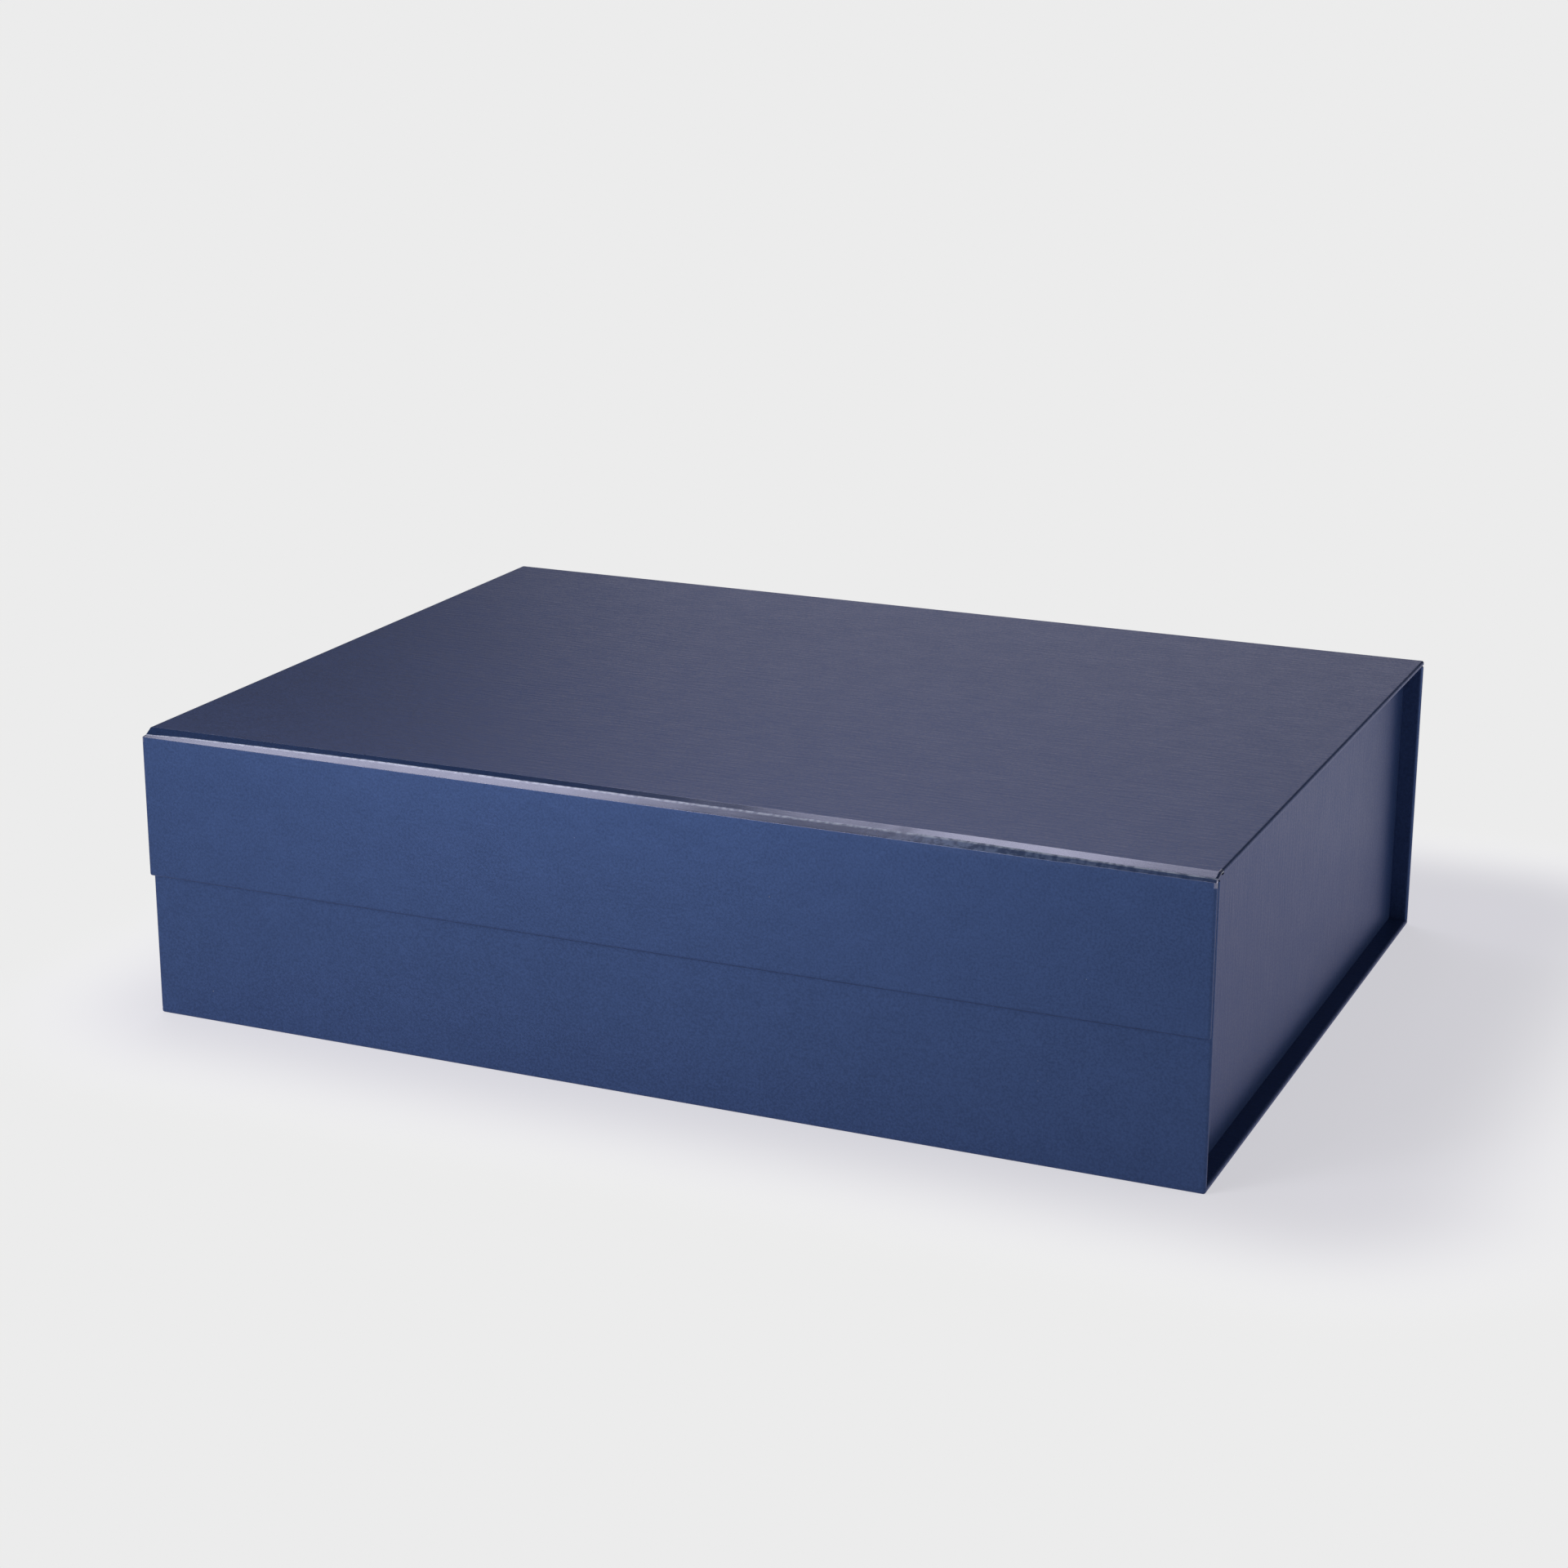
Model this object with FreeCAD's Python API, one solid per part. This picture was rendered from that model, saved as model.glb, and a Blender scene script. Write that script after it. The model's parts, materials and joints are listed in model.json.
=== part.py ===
import FreeCAD, Part
import math
import os

# Rigid paper-covered box, hinged lid with a magnetic front flap, sized for A3 sheets.
# Millimetres.  X runs along the front, Y from the front to the rear, Z up.
# The origin is the middle of the footprint, on the surface the box stands on.
# Five panels of one covered strip (flap, lid, rear wall, base, front wall) fold around
# two separate side walls, which stand on the base a little way in from its ends.

# Overall box, lid shut
BOX_WIDTH = 450.0
BOX_DEPTH = 326.0
BOX_HEIGHT = 123.0
FLAP_DROP = 62.0  # lid's top face to the flap's lower edge
SIDE_RECESS = 8.0  # ends of the strip to the outside of a side wall

# Covered board
BOARD = 2.0
PAPER = 0.2
EDGE_BAND = 4.0  # covering paper that shows round the edge of a lining
EDGE_ROUND = 0.4  # outer radius of the paper round a board's edge

# Soft fold between lid and flap
FOLD_RADIUS = 4.5
FOLD_LAP = 0.3  # straight paper from the round of the fold to the edge of each board
FLAP_CLEAR = 0.6  # flap's lining to the front wall

# Crease between rear wall and lid
LID_CLEAR = 0.3  # under the shut lid, and behind the wall when the lid is laid back
CREASE_STRIP = 2.3  # paper below the crease that bends with it

# Glued corners inside
EAR_LENGTH = 30.0
EAR_CARD = 1.0
EAR_FOOT = 4.0  # base to the lower edge of an ear
EAR_HEAD = 6.0  # upper edge of an ear to the top of the side wall
EAR_TAPER = 9.0  # cut off each free corner of an ear
TAPE = 0.2
TAPE_WIDTH = 18.0
TAPE_MARGIN = 5.0  # ear's root to its tape
TAPE_END = 12.0  # tape's end to the end of the ear
STRIP_LEG = 12.0  # hinge strip on the base, and up the side wall

# Magnetic catch
MAGNET_COUNT = 3
MAGNET_RADIUS = 7.5
POCKET_FLOOR = 0.4  # board left in front of a magnet
MAGNET_END_INSET = 75.0  # end of the flap to the centre of the first magnet
MAGNET_RISE = 15.0  # flap's lower edge up to the magnets' centres
PLATE_RADIUS = 9.0
PLATE_THICK = 0.5
POCKET_CLEAR = 0.1  # all round a magnet or a plate

# Places that follow from the sizes above
PANEL = BOARD + 2 * PAPER
HALF_WIDTH = BOX_WIDTH / 2
FLAP_FACE = -BOX_DEPTH / 2
REAR_FACE = BOX_DEPTH / 2
REAR_INSIDE = REAR_FACE - PANEL
FRONT_FACE = FLAP_FACE + PANEL + FLAP_CLEAR
FRONT_INSIDE = FRONT_FACE + PANEL
SIDE_FACE = HALF_WIDTH - SIDE_RECESS
SIDE_INSIDE = SIDE_FACE - PANEL
LID_UNDERSIDE = BOX_HEIGHT - PANEL
WALL_TOP = LID_UNDERSIDE - LID_CLEAR
FOLD_Y = FLAP_FACE + FOLD_RADIUS
FOLD_Z = BOX_HEIGHT - FOLD_RADIUS
LID_FRONT = FOLD_Y + FOLD_LAP
FLAP_TOP = FOLD_Z - FOLD_LAP
FLAP_BOTTOM = BOX_HEIGHT - FLAP_DROP
MAGNET_THICK = BOARD - POCKET_FLOOR
SOFT_EDGE = min(EDGE_ROUND, 2 * PAPER)


def block(x, y, z):
    """Box between two values on each axis."""
    corner = FreeCAD.Vector(x[0], y[0], z[0])
    return Part.makeBox(x[1] - x[0], y[1] - y[0], z[1] - z[0], corner)


def across(half):
    return (-half, half)


def soften(solid, keep):
    """Rounds every edge of a box, except the edges that lie on a plane in keep: (axis, value)."""

    def stays(edge):
        box = edge.BoundBox
        low = (box.XMin, box.YMin, box.ZMin)
        high = (box.XMax, box.YMax, box.ZMax)
        return any(
            abs(low[axis] - value) < 1e-6 and abs(high[axis] - value) < 1e-6
            for axis, value in keep
        )

    return solid.makeFillet(SOFT_EDGE, [e for e in solid.Edges if not stays(e)])


def rod(x, y, z, radius, length):
    """Disc with its axis along Y, from y towards the rear."""
    start = FreeCAD.Vector(x, y, z)
    return Part.makeCylinder(radius, length, start, FreeCAD.Vector(0, 1, 0))


def mirrored(solid):
    return solid.mirror(FreeCAD.Vector(0, 0, 0), FreeCAD.Vector(1, 0, 0))


def magnet_places():
    """X of each magnet, evenly spaced between the outer two."""
    first = -(HALF_WIDTH - MAGNET_END_INSET)
    step = -2 * first / (MAGNET_COUNT - 1)
    return [first + step * i for i in range(MAGNET_COUNT)]


def discs(y, radius, thick):
    """One disc behind the other on the line of the catch, for each magnet."""
    height = FLAP_BOTTOM + MAGNET_RISE
    return [rod(x, y, height, radius, thick) for x in magnet_places()]


def flap():
    """Front flap: board with pockets for the magnets, covering paper and lining."""
    inside = FLAP_FACE + PANEL
    board_inside = inside - PAPER
    magnet_y = board_inside - MAGNET_THICK
    whole = block(across(HALF_WIDTH), (FLAP_FACE, inside), (FLAP_BOTTOM, FLAP_TOP))
    whole = soften(whole, [(2, FLAP_TOP)])
    board = block(
        across(HALF_WIDTH - PAPER),
        (FLAP_FACE + PAPER, board_inside),
        (FLAP_BOTTOM + PAPER, FLAP_TOP),
    )
    lining = block(
        across(HALF_WIDTH - EDGE_BAND),
        (board_inside, inside),
        (FLAP_BOTTOM + EDGE_BAND, FLAP_TOP),
    )
    pockets = discs(magnet_y, MAGNET_RADIUS + POCKET_CLEAR, MAGNET_THICK)
    magnets = discs(magnet_y, MAGNET_RADIUS, MAGNET_THICK)
    return {
        "flap_wrap": whole.cut([board, lining]),
        "flap_board": board.cut(pockets),
        "flap_lining": lining,
        "flap_magnets": Part.makeCompound(magnets),
    }


def flap_fold():
    """Covering paper and lining, glued together, round the gap between lid and flap."""
    thick = 2 * PAPER
    inner = FOLD_RADIUS - thick
    turn = math.sqrt(0.5)

    def at(y, z):
        return FreeCAD.Vector(-HALF_WIDTH, y, z)

    def arc_middle(radius):
        return at(FOLD_Y - radius * turn, FOLD_Z + radius * turn)

    outer_low = at(FLAP_FACE, FLAP_TOP)
    outer_start = at(FLAP_FACE, FOLD_Z)
    outer_end = at(FOLD_Y, BOX_HEIGHT)
    outer_back = at(LID_FRONT, BOX_HEIGHT)
    inner_back = at(LID_FRONT, BOX_HEIGHT - thick)
    inner_end = at(FOLD_Y, BOX_HEIGHT - thick)
    inner_start = at(FLAP_FACE + thick, FOLD_Z)
    inner_low = at(FLAP_FACE + thick, FLAP_TOP)
    edges = [
        Part.LineSegment(outer_low, outer_start),
        Part.Arc(outer_start, arc_middle(FOLD_RADIUS), outer_end),
        Part.LineSegment(outer_end, outer_back),
        Part.LineSegment(outer_back, inner_back),
        Part.LineSegment(inner_back, inner_end),
        Part.Arc(inner_end, arc_middle(inner), inner_start),
        Part.LineSegment(inner_start, inner_low),
        Part.LineSegment(inner_low, outer_low),
    ]
    section = Part.Face(Part.Wire([e.toShape() for e in edges]))
    return {"flap_fold": section.extrude(FreeCAD.Vector(BOX_WIDTH, 0, 0))}


def lid():
    """Lid: board, covering paper over its top, ends and rear edge, and lining."""
    whole = block(
        across(HALF_WIDTH), (LID_FRONT, REAR_FACE), (LID_UNDERSIDE, BOX_HEIGHT)
    )
    whole = soften(whole, [(1, LID_FRONT), (2, LID_UNDERSIDE)])
    board = block(
        across(HALF_WIDTH - PAPER),
        (LID_FRONT, REAR_FACE - PAPER),
        (LID_UNDERSIDE + PAPER, BOX_HEIGHT - PAPER),
    )
    lining = block(
        across(HALF_WIDTH - EDGE_BAND),
        (LID_FRONT, REAR_FACE - PAPER),
        (LID_UNDERSIDE, LID_UNDERSIDE + PAPER),
    )
    return {
        "lid_wrap": whole.cut([board, lining]),
        "lid_board": board,
        "lid_lining": lining,
    }


def lid_fold():
    """Covering paper that bends between the rear wall and the lid, flat while it is shut."""
    y = (REAR_FACE - PAPER, REAR_FACE)
    z = (WALL_TOP - CREASE_STRIP, LID_UNDERSIDE)
    return {"lid_fold": block(across(HALF_WIDTH), y, z)}


def wall_board(y, top):
    """Board of the front or rear wall, standing on the paper under the box."""
    return block(across(HALF_WIDTH - PAPER), y, (PAPER, top))


def front_board():
    y = (FRONT_FACE + PAPER, FRONT_FACE + PAPER + BOARD)
    return wall_board(y, WALL_TOP - PAPER)


def rear_board():
    y = (REAR_FACE - PAPER - BOARD, REAR_FACE - PAPER)
    return wall_board(y, WALL_TOP)


def front_wall():
    """Front wall, with steel discs behind its paper that hold the flap's magnets."""
    whole = block(
        across(HALF_WIDTH), (FRONT_FACE, FRONT_INSIDE), (PANEL, WALL_TOP)
    )
    whole = soften(whole, [(2, PANEL)])
    board = front_board()
    lining = block(
        across(SIDE_INSIDE),
        (FRONT_INSIDE - PAPER, FRONT_INSIDE),
        (PANEL, WALL_TOP - EDGE_BAND),
    )
    plate_y = FRONT_FACE + PAPER
    pockets = discs(plate_y, PLATE_RADIUS + POCKET_CLEAR, PLATE_THICK)
    plates = discs(plate_y, PLATE_RADIUS, PLATE_THICK)
    return {
        "front_wrap": whole.cut([board, lining]),
        "front_board": board.cut(pockets),
        "front_lining": lining,
        "catch_plates": Part.makeCompound(plates),
    }


def rear_wall():
    """Rear wall; its covering paper stops where the lid's crease begins."""
    whole = block(across(HALF_WIDTH), (REAR_INSIDE, REAR_FACE), (PANEL, WALL_TOP))
    whole = soften(whole, [(2, PANEL), (2, WALL_TOP)])
    board = rear_board()
    lining = block(
        across(SIDE_INSIDE), (REAR_INSIDE, REAR_INSIDE + PAPER), (PANEL, WALL_TOP)
    )
    crease = lid_fold()["lid_fold"]
    return {
        "rear_wrap": whole.cut([board, lining, crease]),
        "rear_board": board,
        "rear_lining": lining,
    }


def base():
    """Base between the two walls; its paper runs on under them and round their feet."""
    whole = block(across(HALF_WIDTH), (FRONT_FACE, REAR_FACE), (0, PANEL))
    whole = soften(whole, [(2, PANEL)])
    between = (FRONT_INSIDE - PAPER, REAR_INSIDE + PAPER)
    board = block(across(HALF_WIDTH - PAPER), between, (PAPER, PANEL - PAPER))
    lining = block(across(SIDE_INSIDE), between, (PANEL - PAPER, PANEL))
    return {
        "base_wrap": whole.cut([board, lining, front_board(), rear_board()]),
        "base_board": board,
        "base_lining": lining,
    }


def right_side_wall():
    """Side wall between front and rear wall, covered over its outside and upper edge."""
    y = (FRONT_INSIDE, REAR_INSIDE)
    whole = block((SIDE_INSIDE, SIDE_FACE), y, (PANEL, WALL_TOP))
    whole = soften(whole, [(2, PANEL), (1, FRONT_INSIDE), (1, REAR_INSIDE)])
    board = block((SIDE_INSIDE + PAPER, SIDE_FACE - PAPER), y, (PANEL, WALL_TOP - PAPER))
    lining = block(
        (SIDE_INSIDE, SIDE_INSIDE + PAPER), y, (PANEL, WALL_TOP - EDGE_BAND)
    )
    return {
        "side_wrap": whole.cut([board, lining]),
        "side_board": board,
        "side_lining": lining,
    }


def right_hinge_strip():
    """Paper angle that joins the foot of the side wall to the base, between the ears."""
    corner = TAPE + EAR_CARD
    y = (FRONT_INSIDE + corner, REAR_INSIDE - corner)
    foot = block((SIDE_INSIDE - STRIP_LEG, SIDE_INSIDE), y, (PANEL, PANEL + PAPER))
    upright = block((SIDE_INSIDE - PAPER, SIDE_INSIDE), y, (PANEL, PANEL + STRIP_LEG))
    return {"hinge_strip": foot.fuse(upright).removeSplitter()}


def right_ear(wall, inward):
    """Ear of the side wall and the double-sided tape that holds it to a wall's lining.

    wall is the Y of that lining's face, inward is +1 or -1, away from the wall.
    """
    low = PANEL + EAR_FOOT
    high = WALL_TOP - EAR_HEAD
    free = SIDE_INSIDE - EAR_LENGTH
    outline = [
        (SIDE_INSIDE, low),
        (SIDE_INSIDE, high),
        (free + EAR_TAPER, high),
        (free, high - EAR_TAPER),
        (free, low + EAR_TAPER),
        (free + EAR_TAPER, low),
    ]
    card_y = wall + inward * TAPE
    corners = [FreeCAD.Vector(x, card_y, z) for x, z in outline]
    card = Part.Face(Part.makePolygon(corners + corners[:1]))
    tape_x = SIDE_INSIDE - TAPE_MARGIN
    return {
        "ear": card.extrude(FreeCAD.Vector(0, inward * EAR_CARD, 0)),
        "tape": block(
            (tape_x - TAPE_WIDTH, tape_x),
            sorted((wall, card_y)),
            (low + TAPE_END, high - TAPE_END),
        ),
    }


def side_pieces():
    """Every piece of the two side walls, the left one the mirror image of the right one."""
    right = {}
    right.update(right_side_wall())
    right.update(right_hinge_strip())
    for end, wall, inward in (("front", FRONT_INSIDE, 1), ("rear", REAR_INSIDE, -1)):
        for name, solid in right_ear(wall, inward).items():
            right[end + "_" + name] = solid
    pieces = {}
    for name, solid in right.items():
        pieces["right_" + name] = solid
        pieces["left_" + name] = mirrored(solid)
    return pieces


def all_pieces():
    pieces = {}
    for group in (
        flap(),
        flap_fold(),
        lid(),
        lid_fold(),
        rear_wall(),
        base(),
        front_wall(),
        side_pieces(),
    ):
        pieces.update(group)
    return pieces


def main():
    os.makedirs("parts", exist_ok=True)
    for name, solid in all_pieces().items():
        solid.exportStep("parts/" + name + ".step")


main()
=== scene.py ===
import json
import math
import random

import bmesh
import bpy
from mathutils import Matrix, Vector, noise


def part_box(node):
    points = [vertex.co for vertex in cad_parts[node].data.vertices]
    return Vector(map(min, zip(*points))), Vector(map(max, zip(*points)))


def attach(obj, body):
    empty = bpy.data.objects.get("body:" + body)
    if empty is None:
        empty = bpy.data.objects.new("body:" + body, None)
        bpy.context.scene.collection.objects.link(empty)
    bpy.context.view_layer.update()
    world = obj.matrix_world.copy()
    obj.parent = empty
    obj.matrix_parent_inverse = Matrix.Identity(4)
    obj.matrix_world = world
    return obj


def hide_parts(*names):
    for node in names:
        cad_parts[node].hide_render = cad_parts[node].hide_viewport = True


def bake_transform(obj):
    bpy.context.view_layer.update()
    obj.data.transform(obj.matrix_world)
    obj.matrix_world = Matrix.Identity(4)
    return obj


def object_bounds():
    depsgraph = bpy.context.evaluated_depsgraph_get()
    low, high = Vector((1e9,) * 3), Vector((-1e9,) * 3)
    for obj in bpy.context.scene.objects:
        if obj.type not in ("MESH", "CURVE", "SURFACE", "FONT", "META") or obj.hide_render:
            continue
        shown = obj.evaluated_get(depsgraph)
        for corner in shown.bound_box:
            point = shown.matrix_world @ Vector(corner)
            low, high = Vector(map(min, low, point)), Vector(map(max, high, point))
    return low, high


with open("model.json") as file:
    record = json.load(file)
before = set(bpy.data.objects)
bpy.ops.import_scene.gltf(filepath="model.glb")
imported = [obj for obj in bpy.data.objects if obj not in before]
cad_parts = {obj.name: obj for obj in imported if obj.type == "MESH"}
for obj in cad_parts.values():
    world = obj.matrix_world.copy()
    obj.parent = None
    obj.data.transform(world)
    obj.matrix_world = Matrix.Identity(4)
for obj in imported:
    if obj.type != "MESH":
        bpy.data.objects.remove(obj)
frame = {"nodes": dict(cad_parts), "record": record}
cad_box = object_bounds()

# Navy paper-covered box with a hinged lid and a magnetic front flap, dressed round its boards.
# Metres, with X along the front, Y to the rear and Z up.

MM = 0.001
NEAR = 1e-6  # metres; places closer together than this count as one
CUT_NEAR = 1e-7  # the same for a cut through a mesh

# The six sides of a piece, as an axis and an end of it
LEFT, RIGHT = (0, 0), (0, 1)
FRONT, REAR = (1, 0), (1, 1)
BOTTOM, TOP = (2, 0), (2, 1)
SIDES = (LEFT, RIGHT, FRONT, REAR, BOTTOM, TOP)

# Covering paper
PAPER = 0.2 * MM
EDGE_ROUND = 1.05 * MM  # the covered board edges are almost half round
ROUND_STEPS = 6
WEAR_REACH = 1.8 * MM  # from a rounded edge to the end of its wear
EDGE_ANGLE = 8.0  # degrees between faces from which a vertex counts as on an edge

# Boards
BOARD_CLEAR = 0.05 * MM  # between the rounded board and its covering
BOARD_STEPS = 4
BOARD_FLAT = 0.99  # cosine; faces turned further than this from a board's flat side are its edges
SAME_PLANE = math.radians(1)  # neighbouring faces that turn less than this are one face

# Lining paper
TURN_IN = 11.0 * MM  # covering paper that runs on under the lining
TURN_IN_STEP = 1.2 * MM  # width of the slope where it ends
EMBOSS = 0.09 * MM  # height of that slope

# Soft fold between lid and flap: two flat facets and the crease between them. On the left the
# paper drops at the lid's board and then runs out flat; on the right it does the reverse.
LID_BOARD_END = 8.5 * MM  # behind the flap's face
FLAP_BEND = 2.65 * MM  # under the lid's face, where the paper turns down on the flap
# The crease's course: shares of the half width and, in mm, how far the lid's bend and the crease
# lie there behind the flap's face, and how far the crease lies under the lid's
CREASE = (
    (-1.0, 5.9, 2.0, 2.4),
    (-0.96, 6.5, 3.5, 2.03),
    (-0.86, 6.7, 4.1, 1.79),
    (-0.71, 6.8, 4.9, 1.57),
    (-0.54, 7.2, 5.4, 1.36),
    (-0.21, 8.0, 5.5, 1.29),
    (0.02, 7.8, 5.1, 1.1),
    (0.17, 7.8, 4.9, 1.02),
    (0.32, 8.0, 4.7, 1.03),
    (0.49, 7.9, 4.6, 0.95),
    (0.6, 7.7, 4.0, 0.91),
    (0.74, 6.8, 2.55, 1.1),
    (0.88, 5.7, 1.5, 1.24),
    (1.0, 5.1, 0.9, 1.36),
)
# Painted light: the fold's lower facet is made paler on the right, standing in for light that the
# lamps don't give it there
PAINTED_LIGHT_FROM = (0.36, 0.56)  # shares between which the lower facet gets paler, left to right
PAINTED_LIGHT_FADES = (0.55, 1.0)  # and between which it gets darker again
PAINTED_LIGHT_LOSS = 0.7  # share of the paleness that is lost there
CREASE_EASE = 0.04  # share over which one stretch of the crease passes into the next
EASE_STEPS = 4
CREASE_ROUND, CREASE_STEPS = 0.2 * MM, 4
BOARD_BEND, BOARD_BEND_STEPS = 0.07 * MM, 2  # the sharper bends at the lid's board and on the flap
CREASE_WANDER, WANDER_LENGTH = 0.16 * MM, 60 * MM  # how far the crease strays, and over what length
WANDER_ROW = 2.3  # row of the noise that it follows
CREASE_KINK, KINK_COUNT, KINK_SEED = 0.14 * MM, 40, 7  # small irregular shifts besides
FOLD_STEP = 2.5 * MM
UPPER_ROWS = (0.3, 0.5, 0.7)  # shares of a facet's width at which the sheet's grid has a row
LOWER_ROWS = (0.12, 0.3, 0.5, 0.7)
# Ends of the stretch that bends as the flap is raised, in mm behind the flap's face and under
# the lid's. They are only worked out here; the fold isn't made to bend.
FOLD_BENDS = ((1.6, 2.0), (0.2, 3.4))
WRINKLE_AT, WRINKLE_WIDTH = 106.0 * MM, 4.0 * MM  # small wrinkle across the crease
WRINKLE_DEPTH = 0.15 * MM

SMOOTH_ANGLE = 50.0  # degrees; sharper edges shade as cut edges

# Crease between rear wall and lid
LID_CREASE_DEPTH = 0.06 * MM
LID_CREASE_ROWS, LID_CREASE_STEP = 8, 20 * MM

# Card ears and hinge strips
EAR_ROUND, EAR_STEPS = 0.3 * MM, 3
EAR_FACE = 1e-4  # square metres; an ear's two flat sides are larger, and its other faces smaller
STRIP_BEND, STRIP_STEPS = 0.8 * MM, 5

# Sizes of the patterns in the paper
GRAIN, STREAK, FIBRE = 0.9 * MM, 1.7 * MM, 2.6 * MM
MOTTLE, WAVE, CLOUD = 14 * MM, 38 * MM, 110 * MM
STREAK_SCALE = (0.14, 1.0, 0.14)  # under 1 draws the streaks out along that axis
GRAIN_DEPTH, WAVE_DEPTH = 0.035 * MM, 0.12 * MM
FIBRE_SHARE, STREAK_SHARE = 0.9, 4.2  # height of fibres and streaks beside the grain's

# Dust on the paper: small specks, in a few cells of a cell pattern
DUST_CELL = 9 * MM
DUST_RADIUS = (0.015, 0.035)  # shares of a cell between which a speck fades out
DUST_CHOSEN = (0.78, 0.8)  # a cell whose random value is above these has a speck
DUST_SHARE = 0.5
DUST = (0.3, 0.31, 0.36)

NAVY = (0.0345, 0.061, 0.153)
NAVY_LINING = (0.031, 0.052, 0.135)
NAVY_SHADED_FOLD = (0.016, 0.037, 0.112)  # the fold's navy, darker as painted shade in its crease; the fold is pressed smooth by use
WORN_AND_PAINTED_LIGHT = (0.17, 0.23, 0.4)  # the paper with its dye rubbed off at its edges, and painted light on the fold's lower facet
CRACKED_AND_PAINTED_HIGHLIGHT = (0.62, 0.68, 0.84)  # the paper's core in a crease; on the fold's crease it is also a painted highlight
PEARL_EDGE = (0.88, 0.83, 1.0)  # colour of the pearl pigment seen at a low angle


# ---------------------------------------------------------------- material helpers


def new_material(name):
    material = bpy.data.materials.new(name)
    material.use_nodes = True
    material.node_tree.nodes.clear()
    return material


def add_node(tree, kind, settings=None, inputs=None):
    """A node with its settings, and its inputs by name or number: each a constant or a socket."""
    node = tree.nodes.new(kind)
    for key, value in (settings or {}).items():
        setattr(node, key, value)
    for key, value in (inputs or {}).items():
        if isinstance(value, bpy.types.NodeSocket):
            tree.links.new(value, node.inputs[key])
        else:
            node.inputs[key].default_value = value
    return node


def blend_colour(tree, factor, first, second):
    """Socket of first changing to second as factor goes from 0 to 1; each is a colour or a socket."""
    colours = [c if isinstance(c, bpy.types.NodeSocket) else (*c, 1.0) for c in (first, second)]
    inputs = {0: factor, 6: colours[0], 7: colours[1]}  # the node's own sockets for colours
    return add_node(tree, "ShaderNodeMix", {"data_type": "RGBA"}, inputs).outputs[2]


def math_node(tree, operation, first, second=0.0):
    inputs = {0: first, 1: second}
    return add_node(tree, "ShaderNodeMath", {"operation": operation}, inputs).outputs[0]


def ranged(tree, value, low, high, to_low=0.0, to_high=1.0):
    """Socket of value mapped smoothly from low..high to to_low..to_high, and held there outside."""
    inputs = {"Value": value, "From Min": low, "From Max": high, "To Min": to_low, "To Max": to_high}
    settings = {"interpolation_type": "SMOOTHSTEP"}
    return add_node(tree, "ShaderNodeMapRange", settings, inputs).outputs[0]


def noise_node(tree, place, size, detail=2.0, roughness=0.5):
    """Socket of smooth noise whose patches are about size across."""
    inputs = {"Vector": place, "Scale": 1.0 / size, "Detail": detail, "Roughness": roughness}
    return add_node(tree, "ShaderNodeTexNoise", None, inputs).outputs[0]


def scaled(colour, factor):
    return tuple(c * factor for c in colour)


def object_place(tree):
    return add_node(tree, "ShaderNodeTexCoord").outputs["Object"]


def stretched(tree, place, scale):
    """Socket of a place scaled along each axis, to draw a pattern out."""
    return add_node(tree, "ShaderNodeMapping", None, {"Vector": place, "Scale": scale}).outputs[0]


def vertex_value(tree, name):
    """Socket of a value that the mesh has at its vertices."""
    return add_node(tree, "ShaderNodeAttribute", {"attribute_name": name}).outputs["Fac"]


def bumped(tree, height, distance, strength=1.0, over=None):
    """Socket of the normal of a surface with that relief, over another bumped normal if given."""
    inputs = {"Strength": strength, "Distance": distance, "Height": height}
    if over is not None:
        inputs["Normal"] = over
    return add_node(tree, "ShaderNodeBump", None, inputs).outputs[0]


def add_surface(tree, inputs):
    surface = add_node(tree, "ShaderNodeBsdfPrincipled", None, inputs)
    add_node(tree, "ShaderNodeOutputMaterial", None, {"Surface": surface.outputs[0]})


def dust(tree, place):
    """Socket of how much dust lies at a place."""
    cells = add_node(tree, "ShaderNodeTexVoronoi", None, {"Vector": place, "Scale": 1.0 / DUST_CELL})
    inside = ranged(tree, cells.outputs["Distance"], *DUST_RADIUS, 1.0, 0.0)
    chosen = add_node(tree, "ShaderNodeSeparateColor", None, {0: cells.outputs["Color"]}).outputs[0]
    speck = math_node(tree, "MULTIPLY", inside, ranged(tree, chosen, *DUST_CHOSEN))
    return math_node(tree, "MULTIPLY", speck, DUST_SHARE)


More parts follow.
